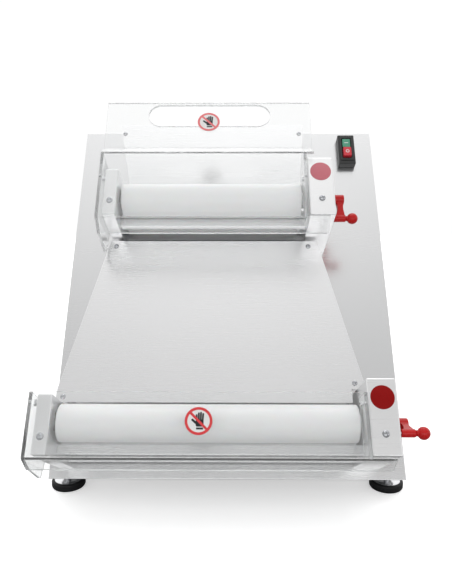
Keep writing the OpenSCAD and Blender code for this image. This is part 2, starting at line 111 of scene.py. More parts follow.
def principled(name, **values):
    """A new material and its Principled node, with plain values set on the sockets."""
    material = bpy.data.materials.new(name)
    material.use_nodes = True
    shader = material.node_tree.nodes["Principled BSDF"]
    for key, value in values.items():
        shader.inputs[key.replace("_", " ")].default_value = value
    return material, shader


def add_node(owner, kind, **inputs):
    """A new node, with plain values set on the sockets."""
    made = owner.node_tree.nodes.new(kind)
    for key, value in inputs.items():
        made.inputs[key.replace("_", " ")].default_value = value
    return made


def link(owner, output, socket):
    owner.node_tree.links.new(output, socket)


def fed(owner, socket, value):
    """Links a node's output to the socket, or sets it to a plain value."""
    if isinstance(value, bpy.types.NodeSocket):
        link(owner, value, socket)
    else:
        socket.default_value = value


def computed(owner, operation, one, other):
    """The result of one sum on two outputs or numbers."""
    made = add_node(owner, "ShaderNodeMath")
    made.operation = operation
    fed(owner, made.inputs[0], one)
    fed(owner, made.inputs[1], other)
    return made.outputs["Value"]


def ranged(owner, value, low, high, start=0.3, end=0.7):
    """The value, mapped from start..end to low..high."""
    remap = add_node(owner, "ShaderNodeMapRange")
    for key, number in zip(("From Min", "From Max", "To Min", "To Max"), (start, end, low, high)):
        remap.inputs[key].default_value = number
    link(owner, value, remap.inputs["Value"])
    return remap.outputs["Result"]


def mixed(owner, factor, one, other):
    """A colour between one and other, each a colour or an output."""
    mix = add_node(owner, "ShaderNodeMix")
    mix.data_type = "RGBA"
    link(owner, factor, mix.inputs["Factor"])
    for socket, colour in zip([s for s in mix.inputs if s.type == "RGBA"], (one, other)):
        fed(owner, socket, (*colour, 1) if isinstance(colour, tuple) else colour)
    return next(s for s in mix.outputs if s.type == "RGBA")


def two_shaders(material, factor, one, other):
    """Makes the surface one shader where factor is 0, and the other where it is 1."""
    either = add_node(material, "ShaderNodeMixShader")
    for socket, output in zip(either.inputs, (factor, one.outputs["BSDF"], other.outputs["BSDF"])):
        link(material, output, socket)
    surface = material.node_tree.nodes["Material Output"].inputs["Surface"]
    link(material, either.outputs["Shader"], surface)


def noise(material, stretch, detail=3.0):
    """Noise over the piece, with stretch cycles per metre along x, y and z."""
    place = add_node(material, "ShaderNodeTexCoord")
    scale = add_node(material, "ShaderNodeMapping", Scale=stretch)
    texture = add_node(material, "ShaderNodeTexNoise", Scale=1.0, Detail=detail, Roughness=0.55)
    link(material, place.outputs["Object"], scale.inputs["Vector"])
    link(material, scale.outputs["Vector"], texture.inputs["Vector"])
    return texture.outputs["Fac"]


def bumped(material, shader, height, depth):
    """Bump of the given depth from a height between 0 and 1."""
    bump = add_node(material, "ShaderNodeBump", Strength=1.0, Distance=depth)
    link(material, height, bump.inputs["Height"])
    link(material, bump.outputs["Normal"], shader.inputs["Normal"])


# Materials. Each has a dark and a light tone, and a smoothest and roughest place.


def brushed_steel(name, dark, light, smooth, rough, grain):
    """Brushed sheet: fine lines along one axis, wide faint smudges, and a roughness from both."""
    across, along, wide = 1500, 14, 7
    groove = 0.0025 * MM
    smudge = 0.015
    material, shader = principled(name, Metallic=1.0)
    lines = noise(material, [along if axis == grain else across for axis in "xyz"], detail=2.0)
    smudges = noise(material, (wide, wide, wide), detail=4.0)
    link(material, mixed(material, smudges, dark, light), shader.inputs["Base Color"])
    half = (smooth + rough) / 2
    from_lines = ranged(material, lines, smooth - half, rough - half)
    from_smudges = ranged(material, smudges, half - smudge, half + smudge)
    roughness = computed(material, "ADD", from_lines, from_smudges)
    link(material, roughness, shader.inputs["Roughness"])
    bumped(material, shader, lines, groove)
    return material


def grained(material, shader, dark, light, smooth, rough, fine, wide, depth):
    """Gives a shader its wide tone changes, and its roughness and bump from a fine noise."""
    link(material, mixed(material, wide, dark, light), shader.inputs["Base Color"])
    link(material, ranged(material, fine, smooth, rough), shader.inputs["Roughness"])
    bumped(material, shader, fine, depth)
    return material


def machined_metal(name, dark, light, smooth, rough):
    """Turned, plated or cast metal: fine even grit with wide tone changes."""
    material, shader = principled(name, Metallic=1.0)
    fine = noise(material, (900, 900, 900), detail=3.0)
    wide = noise(material, (40, 40, 40), detail=3.0)
    return grained(material, shader, dark, light, smooth, rough, fine, wide, 0.01 * MM)


def moulded_plastic(name, dark, light, smooth, rough, grain=1200, depth=0.015 * MM, **values):
    """Moulded plastic or rubber: a fine skin texture and slight tone changes."""
    material, shader = principled(name, **values)
    fine = noise(material, (grain, grain, grain), detail=2.0)
    wide = noise(material, (30, 30, 30), detail=3.0)
    return grained(material, shader, dark, light, smooth, rough, fine, wide, depth)


def turned_nylon(name, dark, light, smooth, rough):
    """White roller plastic: faint turning lines round the roller and a soft glow under the skin."""
    material, shader = principled(name, Subsurface_Weight=0.12, Subsurface_Scale=2 * MM, IOR=1.53)
    rings = noise(material, (1600, 6, 6), detail=2.0)
    wide = noise(material, (9, 14, 14), detail=3.0)
    return grained(material, shader, dark, light, smooth, rough, rings, wide, 0.006 * MM)


def clear_sheet(name, tint, roughness, waviness, clear):
    """Acrylic, clear but for a little haze. Lamps shine through it, so its shadow is faint."""
    material, shader = principled(
        name, Base_Color=(*tint, 1), Roughness=roughness, IOR=1.49, Transmission_Weight=clear
    )
    if waviness:
        bumped(material, shader, noise(material, (16, 16, 16), detail=1.0), waviness)
    through = add_node(material, "ShaderNodeBsdfTransparent", Color=(0.93, 0.94, 0.945, 1))
    path = add_node(material, "ShaderNodeLightPath")
    two_shaders(material, path.outputs["Is Shadow Ray"], shader, through)
    return material


SLOT_MATERIALS = {
    "stainless": brushed_steel(
        "panel_steel", (0.765, 0.77, 0.775), (0.785, 0.785, 0.79), 0.235, 0.275, "x"
    ),
    "stainless_plate": brushed_steel(
        "plate_steel", (0.835, 0.835, 0.84), (0.855, 0.855, 0.86), 0.265, 0.305, "x"
    ),
    "bright_steel": machined_metal(
        "plated_steel", (0.7, 0.71, 0.73), (0.82, 0.82, 0.83), 0.1, 0.2
    ),
    "rubber": moulded_plastic(
        "foot_rubber", (0.005, 0.005, 0.006), (0.009, 0.009, 0.01), 0.42, 0.6,
        Specular_IOR_Level=0.3,
    ),
    "red_film": moulded_plastic(
        "red_film", (0.24, 0.003, 0.003), (0.28, 0.005, 0.005), 0.16, 0.24,
        depth=0.003 * MM, Specular_IOR_Level=0.12,
    ),
    "black_plastic": moulded_plastic(
        "black_plastic", (0.012, 0.013, 0.013), (0.02, 0.021, 0.021), 0.3, 0.45
    ),
    "green_plastic": moulded_plastic(
        "green_plastic", (0.05, 0.26, 0.16), (0.07, 0.31, 0.2), 0.25, 0.4
    ),
    "red_button": moulded_plastic(
        "button_red", (0.55, 0.02, 0.035), (0.62, 0.03, 0.05), 0.25, 0.4
    ),
    "motor_paint": moulded_plastic(
        "motor_paint", (0.07, 0.08, 0.09), (0.1, 0.11, 0.12), 0.4, 0.6
    ),
    "shaft_steel": machined_metal(
        "shaft_steel", (0.55, 0.55, 0.56), (0.66, 0.66, 0.67), 0.2, 0.34
    ),
    "belt_rubber": moulded_plastic(
        "belt_rubber", (0.012, 0.012, 0.012), (0.025, 0.025, 0.025), 0.6, 0.75
    ),
    "white_plastic": moulded_plastic(
        "white_plastic", (0.7, 0.7, 0.69), (0.78, 0.78, 0.77), 0.35, 0.5
    ),
    "pulley_alloy": machined_metal(
        "pulley_alloy", (0.6, 0.61, 0.62), (0.7, 0.7, 0.71), 0.3, 0.42
    ),
    "nylon": turned_nylon("roller_nylon", (0.88, 0.885, 0.885), (0.93, 0.93, 0.925), 0.3, 0.42),
    "gear_steel": machined_metal("gear_steel", (0.3, 0.3, 0.31), (0.42, 0.42, 0.43), 0.3, 0.45),
    "bronze": machined_metal("bronze", (0.6, 0.4, 0.18), (0.72, 0.5, 0.24), 0.25, 0.4),
    "red_plastic": moulded_plastic(
        "lever_red", (0.44, 0.001, 0.002), (0.52, 0.002, 0.003), 0.22, 0.34,
        grain=700, Specular_IOR_Level=0.35,
    ),
    "clear_acrylic": clear_sheet("clear_acrylic", (0.93, 0.935, 0.935), 0.01, 0.01 * MM, 0.95),
}
ACRYLIC_EDGE = clear_sheet("acrylic_edge", (0.93, 0.94, 0.94), 0.3, 0, 0.45)
SCREW_STEEL = machined_metal("screw_steel", (0.4, 0.41, 0.43), (0.52, 0.53, 0.55), 0.1, 0.18)
SIDE_STEEL = brushed_steel(
    "side_steel", (0.74, 0.745, 0.75), (0.79, 0.79, 0.795), 0.2, 0.3, "z"
)
BRACKET_STEEL = brushed_steel(
    "bracket_steel", (0.84, 0.84, 0.845), (0.87, 0.87, 0.87), 0.27, 0.34, "x"
)
# The upper disc's red film, painted paler and pinker than the lower one's: a painted reflection of the overhead
# light
UPPER_DISC_PAINTED_SHEEN = moulded_plastic(
    "upper_disc_painted_sheen", (0.5, 0.13, 0.16), (0.56, 0.16, 0.19), 0.2, 0.3, depth=0.003 * MM
)


CAD_SLOT = {node: obj.data.materials[0].name for node, obj in NODES.items()}
for node, obj in NODES.items():
    obj.material_slots[0].material = SLOT_MATERIALS[CAD_SLOT[node]]

# Shapes

SHARP_EDGE = math.radians(50)


def rounded(points, radius, steps=4, closed=True):
    """The 2-D outline with its corners turned into arcs. A radius of 0 leaves one sharp."""
    radii = radius if isinstance(radius, (list, tuple)) else [radius] * len(points)
    result = []
    for i, (point, wanted) in enumerate(zip(points, radii)):
        corner = Vector(point)
        at_end = not closed and i in (0, len(points) - 1)
        if wanted <= 0 or at_end:
            result.append(corner)
            continue
        back = Vector(points[i - 1]) - corner
        on = Vector(points[(i + 1) % len(points)]) - corner
        half = back.angle(on) / 2
        reach = min(wanted / math.tan(half), 0.49 * back.length, 0.49 * on.length)
        inwards = (back.normalized() + on.normalized()).normalized()
        centre = corner + inwards * reach / math.cos(half)
        first = corner + back.normalized() * reach - centre
        last = corner + on.normalized() * reach - centre
        turn = first.angle_signed(last)
        for k in range(steps + 1):
            result.append(centre + Matrix.Rotation(-turn * k / steps, 2) @ first)
    return result


def lathe(bm, profile, place=Matrix(), segments=48, ring=False):
    """Turns (height, radius) points round local z. ring joins the last point to the first."""
    rings = []
    for height, radius in profile:
        turns = [2 * math.pi * i / segments for i in range(segments)] if radius > 1e-7 else [0]
        points = [Vector((radius * math.cos(a), radius * math.sin(a), height)) for a in turns]
        rings.append([bm.verts.new(place @ p) for p in points])
    for low, high in zip(rings, rings[1:] + (rings[:1] if ring else [])):
        for i in range(segments):
            j = (i + 1) % segments
            order = ((low, i), (low, j), (high, j), (high, i))
            corners = [side[k % len(side)] for side, k in order]
            # At a point on the axis, two corners are one vertex
            corners = list(dict.fromkeys(corners))
            if len(corners) > 2:
                bm.faces.new(corners)


def prism(bm, outline, low, high, place=Matrix(), rim=0):
    """Extrudes a closed outline from low to high along local z. rim is the sides' material."""
    rings = [[bm.verts.new(place @ Vector((p[0], p[1], z))) for p in outline] for z in (low, high)]
    bm.faces.new(rings[0][::-1])
    bm.faces.new(rings[1])
    for i in range(len(outline)):
        j = (i + 1) % len(outline)
        side = bm.faces.new((rings[0][i], rings[0][j], rings[1][j], rings[1][i]))
        side.material_index = rim


def frame_prism(bm, outer, inner, low, high, place=Matrix()):
    """A prism with a hole, from two outlines that have the same number of points."""
    loops = [
        [bm.verts.new(place @ Vector((p[0], p[1], z))) for p in outline]
        for outline, z in ((outer, low), (outer, high), (inner, high), (inner, low))
    ]
    for a, b in zip(loops, loops[1:] + loops[:1]):
        for i in range(len(a)):
            j = (i + 1) % len(a)
            bm.faces.new((a[i], a[j], b[j], b[i]))


def rectangle(width, height, centre=(0, 0)):
    x, y = centre
    signs = ((-1, -1), (1, -1), (1, 1), (-1, 1))
    return [(x + sx * width / 2, y + sy * height / 2) for sx, sy in signs]


def capsule(start, end, radius, steps=8):
    """Outline of a straight bar with round ends."""
    start, end = Vector(start), Vector(end)
    side = (end - start).normalized() * radius
    turns = [math.pi * k / steps for k in range(steps + 1)]
    first = [end + Matrix.Rotation(a - math.pi / 2, 2) @ side for a in turns]
    return first + [start + Matrix.Rotation(a + math.pi / 2, 2) @ side for a in turns]


def finished(name, bm, materials, place=Matrix(), sharp=35):
    """A Blender object from a bmesh, in place, smooth up to the given angle in degrees."""
    bm.transform(place)
    bmesh.ops.recalc_face_normals(bm, faces=bm.faces)
    mesh = bpy.data.meshes.new(name)
    bm.to_mesh(mesh)
    bm.free()
    for material in materials:
        mesh.materials.append(material)
    mesh.shade_smooth()
    mesh.set_sharp_from_angle(angle=math.radians(sharp))
    obj = bpy.data.objects.new(name, mesh)
    bpy.context.scene.collection.objects.link(obj)
    return obj


def weighted(obj):
    """Keeps flat faces flat next to rounded edges."""
    modifier = obj.modifiers.new("weighted", "WEIGHTED_NORMAL")
    modifier.keep_sharp = True
    return obj


def applied(obj):
    """The object with its modifiers applied."""
    evaluated = obj.evaluated_get(bpy.context.evaluated_depsgraph_get())
    mesh = bpy.data.meshes.new_from_object(evaluated)
    obj.modifiers.clear()
    obj.data = mesh
    return obj


def combined(obj, other, operation):
    """Joins other to obj, or cuts it out of obj, as solids."""
    modifier = obj.modifiers.new("combined", "BOOLEAN")
    modifier.operation = operation
    modifier.solver = "EXACT"
    modifier.object = other
    applied(obj)
    bpy.data.objects.remove(other)
    return obj


def bevelled(obj, width, segments=2):
    """Rounds every sharp edge."""
    modifier = obj.modifiers.new("bevel", "BEVEL")
    modifier.width = width
    modifier.segments = segments
    modifier.limit_method = "ANGLE"
    modifier.angle_limit = SHARP_EDGE
    return obj


def placed(obj, body, slot, *replaced):
    """Rides on a body, in the place of the CAD nodes named. The slot argument is not used."""
    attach(obj, body)
    if replaced:
        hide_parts(*replaced)
    return obj


def body_of(node):
    bodies = frame["record"]["behaviour"]["bodies"]
    return next(body for body, members in bodies.items() if node in members)


# CAD sheets with rounded edges

LONG_EDGE = 6 * MM
SHARP_FOLD = math.radians(40)


def clean_copy(node):
    """The CAD node's mesh with its flat faces whole again."""
    bm = bmesh.new()
    bm.from_mesh(NODES[node].data)
    bmesh.ops.remove_doubles(bm, verts=bm.verts, dist=0.001 * MM)
    bmesh.ops.dissolve_limit(bm, angle_limit=math.radians(1), verts=bm.verts, edges=bm.edges)
    return bm


def softened(node, radius, wanted=None, material=None):
    """Shows the CAD node with its long outer edges rounded. wanted picks them by their middle."""
    bm = clean_copy(node)
    edges = [
        e
        for e in bm.edges
        if e.is_manifold
        and e.calc_face_angle_signed() > SHARP_FOLD
        and e.calc_length() > LONG_EDGE
        and (wanted is None or wanted((e.verts[0].co + e.verts[1].co) / 2))
    ]
    bmesh.ops.bevel(
        bm, geom=edges, offset=radius, offset_type="OFFSET", segments=3, profile=0.5,
        affect="EDGES", clamp_overlap=True,
    )
    slot = CAD_SLOT[node]
    obj = finished(node + "_rounded", bm, [material or SLOT_MATERIALS[slot]])
    return placed(weighted(obj), body_of(node), slot, node)


def outer_fold(node):
    """Picks edges on the outside of a folded sheet, and not those at its open side."""
    low, high = slope_box(node)
    near = 0.05 * MM

    def picked(middle):
        p = on_slope(middle)
        to_side = min(abs(p.x - low.x), abs(p.x - high.x))
        to_end = min(abs(p.y - low.y), abs(p.y - high.y))
        return sum(gap < near for gap in (to_side, to_end, abs(p.z - high.z))) >= 2

    return picked


def add_sheets():
    softened("front_panel", 1.1 * MM, outer_fold("front_panel"))
    for node in ("left_side_panel", "right_side_panel"):
        softened(node, 0.3 * MM, material=SIDE_STEEL)
    for node in ("top_panel", "rear_cover", "base_plate"):
        softened(node, 0.3 * MM)
    for node in ("feed_plate", "chute_plate"):
        softened(node, 0.45 * MM)
    for head in ("upper", "lower"):
        for side in ("left", "right"):
            node = f"{head}_{side}_bracket"
            softened(node, 1.8 * MM, outer_fold(node), material=BRACKET_STEEL)
        softened(f"{head}_scrapers", 0.4 * MM)


# Screws


def one_screw(head_r, head_h, shank_r, length):
    """A domed screw with a cross recess, as a bmesh with its seat at z = 0."""
    steps = 8
    turns = [math.pi / 2 * k / steps for k in range(steps + 1)]
    dome = [(head_h * math.cos(a), head_r * math.sin(a)) for a in turns]
    bm = bmesh.new()
    lathe(bm, dome + [(0, shank_r), (-length, shank_r), (-length, 0)], segments=40)
    screw = finished("screw", bm, [])
    cutter = bmesh.new()
    arm, width = 0.62 * head_r, 0.14 * head_r
    quarter = [(width, -width), (arm, -width), (arm, width)]
    cross = [Matrix.Rotation(i * math.pi / 2, 2) @ Vector(p) for i in range(4) for p in quarter]
    recess_end = 0.4 * head_h
    as_driven = Matrix.Rotation(0.3, 4, "Z")
    prism(cutter, cross, recess_end, 2 * head_h, as_driven)
    combined(screw, finished("recess", cutter, []), "DIFFERENCE")
    bm = bmesh.new()
    bm.from_mesh(screw.data)
    bpy.data.objects.remove(screw)
    return bm


def repeated(name, bm, places, node, material=None):
    """One piece made of the same shape at several places, in the place of the CAD node."""
    single = bpy.data.meshes.new(name)
    bm.to_mesh(single)
    bm.free()
    joined = bmesh.new()
    for place in places:
        part = bmesh.new()
        part.from_mesh(single)
        part.transform(place)
        scratch = bpy.data.meshes.new(name)
        part.to_mesh(scratch)
        part.free()
        joined.from_mesh(scratch)
        bpy.data.meshes.remove(scratch)
    bpy.data.meshes.remove(single)
    obj = finished(name, joined, [material or SLOT_MATERIALS[CAD_SLOT[node]]])
    return placed(obj, body_of(node), CAD_SLOT[node], node)


def solids(node):
    """The separate solids of a CAD node, each as a list of its points."""
    bm = bmesh.new()
    bm.from_mesh(NODES[node].data)
    bmesh.ops.remove_doubles(bm, verts=bm.verts, dist=0.001 * MM)
    left, groups = set(bm.verts), []
    while left:
        stack, group = [left.pop()], []
        while stack:
            vertex = stack.pop()
            group.append(vertex.co.copy())
            for edge in vertex.link_edges:
                other = edge.other_vert(vertex)
                if other in left:
                    left.remove(other)
                    stack.append(other)
        groups.append(group)
    bm.free()
    return groups


def screw_places(node, axis, head_h):
    """Where each screw of a node sits, with its local z axis along axis."""
    turn = Vector((0, 0, 1)).rotation_difference(axis).to_matrix().to_4x4()
    back = turn.inverted()
    places = []
    for points in solids(node):
        local = [back @ p for p in points]
        low, high = box_of(local)
        places.append(turn @ Matrix.Translation(middle_at(low, high, high.z - head_h)))
    return places


def add_screws():
    plate_normal = {
        node: max(NODES[node].data.polygons, key=lambda f: f.area).normal.copy()
        for node in ("feed_plate", "chute_plate")
    }
    for node, normal in plate_normal.items():
        if normal.dot(out_of_slope) < 0:
            plate_normal[node] = -normal
    small_h, large_h = 2.4 * MM, 3.2 * MM
    small = (4 * MM, small_h, 1.5 * MM, 1.5 * MM)
    large = (4.9 * MM, large_h, 2.5 * MM, 8 * MM)
    bracket_high = slope_box("upper_left_bracket")[1]
    along_slope = SLOPE.to_3x3() @ Vector((0, 0, 1))
    places = screw_places("bracket_screws", along_slope, large_h)
    # Each bracket screw has its own nut, a shorter solid further in
    heads = [p for p in places if on_slope(p.translation).z > bracket_high.z - MM]
    repeated("bracket_screw_heads", one_screw(*large), heads, "bracket_screws", SCREW_STEEL)
    low_screws = screw_places("plate_screws", plate_normal["chute_plate"], small_h)
    high_screws = screw_places("plate_screws", plate_normal["feed_plate"], small_h)
    split = bracket_high.y
    plate = [p for p in low_screws if on_slope(p.translation).y < split]
    plate += [p for p in high_screws if on_slope(p.translation).y >= split]
    repeated("plate_screw_heads", one_screw(*small), plate, "plate_screws", SCREW_STEEL)
    rear = screw_places("cover_screws", Vector((0, 1, 0)), small_h)
    repeated("cover_screw_heads", one_screw(*small), rear, "cover_screws", SCREW_STEEL)


# Rollers


def add_rollers():
    """Each roller is a sleeve over its CAD shaft or core."""
    bore, edge = 11 * MM, 1.6 * MM
    for head in ("upper", "lower"):
        for row in ("rear", "front"):
            node = f"{head}_{row}_roller"
            low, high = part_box(node)
            radius = (high.y - low.y) / 2
            axis = Vector((0, (low.y + high.y) / 2, (low.z + high.z) / 2))
            outline = [(low.x, bore), (low.x, radius), (high.x, radius), (high.x, bore)]
            bm = bmesh.new()
            lathe(
                bm, rounded(outline, [0, edge, edge, 0]), Matrix.Translation(axis) @ ALONG_X,
                segments=96, ring=True,
            )
            sleeve = finished(f"{node}_sleeve", bm, [SLOT_MATERIALS["nylon"]])
            placed(sleeve, body_of(node), "nylon", node)


# Guards

GUARD_T = 4 * MM
GUARD_BEND = 5 * MM
# How far each right edge stands past the right bracket's left side
FACE_PAST, PANEL_PAST, LIP_PAST = -3 * MM, 9 * MM, 27 * MM
RIB_DEPTH = 34 * MM
PIN_HOLE_R = 2.55 * MM


def offset_path(path, distance):
    """The path moved sideways to its right by distance."""
    moved = []
    for i, point in enumerate(path):
        before = path[max(i - 1, 0)]
        after = path[min(i + 1, len(path) - 1)]
        along_in = (point - before) if i else (after - point)
        along_out = (after - point) if i < len(path) - 1 else along_in
        side_in = Vector((along_in.y, -along_in.x)).normalized()
        side_out = Vector((along_out.y, -along_out.x)).normalized()
        side = (side_in + side_out).normalized()
        moved.append(point + side * distance / max(side.dot(side_in), 0.3))
    return moved


def bent_sheet(bm, path, limits, left, rights):
    """A bent sheet along x from left. limits gives each path step's right edge, one of rights."""
    inner = offset_path(path, GUARD_T)
    columns = [left] + sorted(rights)
    grid = {}

    def vertex(i, c, face):
        key = (i, c, face)
        if key not in grid:
            p = (path if face else inner)[i]
            grid[key] = bm.verts.new((columns[c], p.x, p.y))
        return grid[key]

    def filled(i, c):
        if not (0 <= i < len(path) - 1 and 0 <= c < len(rights)):
            return False
        return columns[c + 1] <= limits[i] + 1e-7

    for i in range(len(path) - 1):
        for c in range(len(rights)):
            if not filled(i, c):
                continue
            for face in (True, False):
                around = ((i, c), (i + 1, c), (i + 1, c + 1), (i, c + 1))
                bm.faces.new([vertex(a, b, face) for a, b in around])
            for there, ends in (
                ((i - 1, c), ((i, c), (i, c + 1))),
                ((i + 1, c), ((i + 1, c), (i + 1, c + 1))),
                ((i, c - 1), ((i, c), (i + 1, c))),
                ((i, c + 1), ((i, c + 1), (i + 1, c + 1))),
            ):
                if not filled(*there):
                    a, b = ends
                    rim = bm.faces.new(
                        [vertex(*a, True), vertex(*b, True), vertex(*b, False), vertex(*a, False)]
                    )
                    rim.material_index = 1


def add_guard(head, drop, face, lip, cheek_back, step=None, panel_top=0, slot=None):
    """One clear guard: a bent face with its lip, two cheeks, and on the upper one a raised panel.

    Heights along the slope count from the bracket's foot, and drop is where the face begins.
    lip and cheek_back are points on a cut through the guard, step is the panel's offset from the
    face's top, and slot is its opening's middle and size.
    """
    node = f"{head}_guard"
    low, high = slope_box(node)
    bracket = slope_box(f"{head}_right_bracket")[0]
    foot = bracket.y
    face_n = high.z
    face_right = bracket.x + FACE_PAST
    panel_right = bracket.x + PANEL_PAST
    lip_right = bracket.x + LIP_PAST
    face_top = foot + face
    corners = [(foot + lip[0], lip[1]), (foot + drop, face_n), (face_top, face_n)]
    rights = [face_right, lip_right]
    if step:
        panel_n = face_n + step[1]
        corners += [(face_top + step[0], panel_n), (foot + panel_top, panel_n)]
        rights.append(panel_right)
    path = rounded(corners, GUARD_BEND, closed=False, steps=10)
    lip_end = foot + drop + GUARD_BEND
    limits = []
    for here, after in zip(path, path[1:]):
        s = (here.x + after.x) / 2
        on_panel = step and s > face_top
        limits.append(lip_right if s < lip_end else panel_right if on_panel else face_right)
    bm = bmesh.new()
    bent_sheet(bm, path, limits, low.x, rights)
    sheet_looks = [SLOT_MATERIALS["clear_acrylic"], ACRYLIC_EDGE]
    guard = finished(f"{head}_guard_sheet", bm, sheet_looks)
    # The left cheek reaches back towards the slope, and the right one is a narrow rib
    inside = 0.4 * GUARD_T
    rib_top, rib_back = face_top - 0.1 * MM, face_n - RIB_DEPTH
    back = [(foot + a, b) for a, b in cheek_back]
    left_cheek = [
        (foot + lip[0] + inside, lip[1] + inside), (foot + drop + 2 * MM, face_n - inside),
        (rib_top, face_n - inside), *back,
    ]
    right_cheek = [
        (foot + drop + 2 * MM, face_n - inside), (rib_top, face_n - inside),
        (rib_top, rib_back), (foot + drop + 3 * MM, rib_back),
    ]
    for outline, x0, radii in (
        (left_cheek, low.x, [0, 0, 0] + [4 * MM] * len(back)),
        (right_cheek, face_right - GUARD_T, [0, 0, 4 * MM, 4 * MM]),
    ):
        bm = bmesh.new()
        prism(bm, rounded(outline, radii), x0, x0 + GUARD_T, ALONG_X, rim=1)
        combined(guard, finished("cheek", bm, sheet_looks), "UNION")
    pivot = on_slope(JOINTS[f"{head}_guard_swing"]["pos_m"])
    start, end = low.x - 20 * MM, face_right + 20 * MM
    hole = [(start, 0), (start, PIN_HOLE_R), (end, PIN_HOLE_R), (end, 0)]
    bm = bmesh.new()
    lathe(bm, hole, Matrix.Translation((0, pivot.y, pivot.z)) @ ALONG_X)
    combined(guard, finished("hole", bm, [ACRYLIC_EDGE]), "DIFFERENCE")
    if slot:
        (x, s), width, height = slot
        ends = (width - height) / 2
        outline = capsule((x - ends, foot + s), (x + ends, foot + s), height / 2, steps=16)
        bm = bmesh.new()
        prism(bm, outline, face_n - 60 * MM, face_n + 10 * MM)
        combined(guard, finished("slot", bm, [ACRYLIC_EDGE]), "DIFFERENCE")
    bevelled(guard, 0.4 * MM)
    guard.data.transform(SLOPE)
    placed(weighted(guard), f"{head}_guard", "clear_acrylic", node)


def add_guards():
    low, high = slope_box("upper_front_roller")
    slot_x = (low.x + high.x) / 2 - 4.5 * MM
    add_guard(
        "upper", drop=-12 * MM, face=100 * MM, lip=(-26 * MM, 112.5 * MM),
        cheek_back=[(96 * MM, 95 * MM), (20 * MM, 45 * MM), (-32 * MM, 60 * MM)],
        step=(19 * MM, -16 * MM), panel_top=206 * MM,
        slot=((slot_x, 181 * MM), 194 * MM, 42 * MM),
    )
    add_guard(
        "lower", drop=-6 * MM, face=78 * MM, lip=(-17 * MM, 112.5 * MM),
        cheek_back=[(74 * MM, 95 * MM), (20 * MM, 45 * MM), (-23 * MM, 60 * MM)],
    )


# Prohibition signs

SIGN_R = 17.6 * MM


def add_sign(name, body, at, red, black):
    """A round sign of thin film: a red ring and bar over a plain hand of straight fingers."""
    white = SLOT_MATERIALS["white_plastic"]
    place = SLOPE @ Matrix.Translation(at)
    base, film = 0.5 * MM, 0.08 * MM
    inner, outer = 0.8 * SIGN_R, SIGN_R - 0.15 * MM
    bar = 0.09 * SIGN_R
    bm = bmesh.new()
    lathe(bm, [(0, 0), (0, SIGN_R), (base, SIGN_R - 0.1 * MM), (base, 0)], segments=72)
    placed(finished(f"{name}_base", bm, [white], place), body, "white_plastic")
    bm = bmesh.new()
    palm = rectangle(0.56 * SIGN_R, 0.5 * SIGN_R, (0.08 * SIGN_R, -0.15 * SIGN_R))
    prism(bm, rounded(palm, 0.1 * SIGN_R), base, base + film)
    for i, length in enumerate((0.42, 0.54, 0.58, 0.5)):
        x = (-0.13 + 0.14 * i) * SIGN_R
        finger = capsule((x, 0), (x * 1.12, length * SIGN_R), 0.066 * SIGN_R)
        prism(bm, finger, base, base + film)
    thumb_root, thumb_tip = (-0.02 * SIGN_R, -0.28 * SIGN_R), (-0.44 * SIGN_R, 0.08 * SIGN_R)
    prism(bm, capsule(thumb_root, thumb_tip, 0.085 * SIGN_R), base, base + film)
    cuff = rectangle(0.5 * SIGN_R, 0.14 * SIGN_R, (0.08 * SIGN_R, -0.53 * SIGN_R))
    prism(bm, rounded(cuff, 0.03 * SIGN_R), base, base + film)
    placed(finished(f"{name}_hand", bm, [black], place), body, "black_plastic")
    bm = bmesh.new()
    top = base + 2 * film
    ring = [(base, inner), (base, outer), (top, outer), (top, inner)]
    lathe(bm, ring, segments=72, ring=True)
    reach = inner + 0.5 * MM
    slanted = Matrix.Rotation(math.radians(-45), 4, "Z")
    prism(bm, rectangle(2 * reach, 2 * bar), base, top - 0.02 * MM, slanted)
    placed(finished(f"{name}_ring", bm, [red], place), body, "red_film")


def add_signs():
    black = moulded_plastic("sign_black", (0.01, 0.01, 0.01), (0.02, 0.02, 0.02), 0.4, 0.5)
    # The upper sign's black and red, painted paler than the lower sign's: a painted reflection of the overhead
    # light
    grey = moulded_plastic("sign_black_painted_sheen", (0.035, 0.035, 0.04), (0.05, 0.05, 0.055), 0.4, 0.5)
    red = moulded_plastic("sign_red", (0.62, 0.03, 0.035), (0.68, 0.045, 0.05), 0.35, 0.45)
    pale = moulded_plastic("sign_red_painted_sheen", (0.72, 0.16, 0.17), (0.77, 0.2, 0.21), 0.35, 0.45)
    over = 0.2 * MM
    foot, face = slope_box("lower_right_bracket")[0].y, slope_box("lower_guard")[1].z
    at = Vector((-34.9 * MM, foot + 40.6 * MM, face + over))
    add_sign("lower_sign", "lower_guard", at, red, black)
    # The upper sign sits on the raised panel, set back from the guard's face. It is the same sign as the lower
    # one, painted paler red and dark grey for black: a painted reflection of the overhead light.
    top = slope_box("upper_guard")[1]
    at = Vector((-30 * MM, top.y - 38 * MM, top.z - 16 * MM + over))
    add_sign("upper_sign", "upper_guard", at, pale, grey)


def add_discs():
    """A slightly domed disc on each right bracket. The upper one is the same red film, painted paler and pinker: a
    painted reflection of the overhead light.
    """
    radius, edge, dome, up = 15.8 * MM, 0.5 * MM, 0.62 * MM, 74.6 * MM
    profile = rounded(
        [(0, 0), (0, radius), (edge, radius), (dome, 0)], [0, 0, 0.3 * MM, 0], closed=False
    )
    for head, material in (("upper", UPPER_DISC_PAINTED_SHEEN), ("lower", SLOT_MATERIALS["red_film"])):
        low, high = slope_box(f"{head}_right_bracket")
        bm = bmesh.new()
        lathe(bm, profile, segments=72)
        at = Vector(((low.x + high.x) / 2, low.y + up, high.z))
        disc = finished(f"{head}_marker_disc", bm, [material], SLOPE @ Matrix.Translation(at))
        placed(disc, "cabinet", "red_film", "marker_discs")


# Levers and knobs

LEVER_LEN = 33 * MM


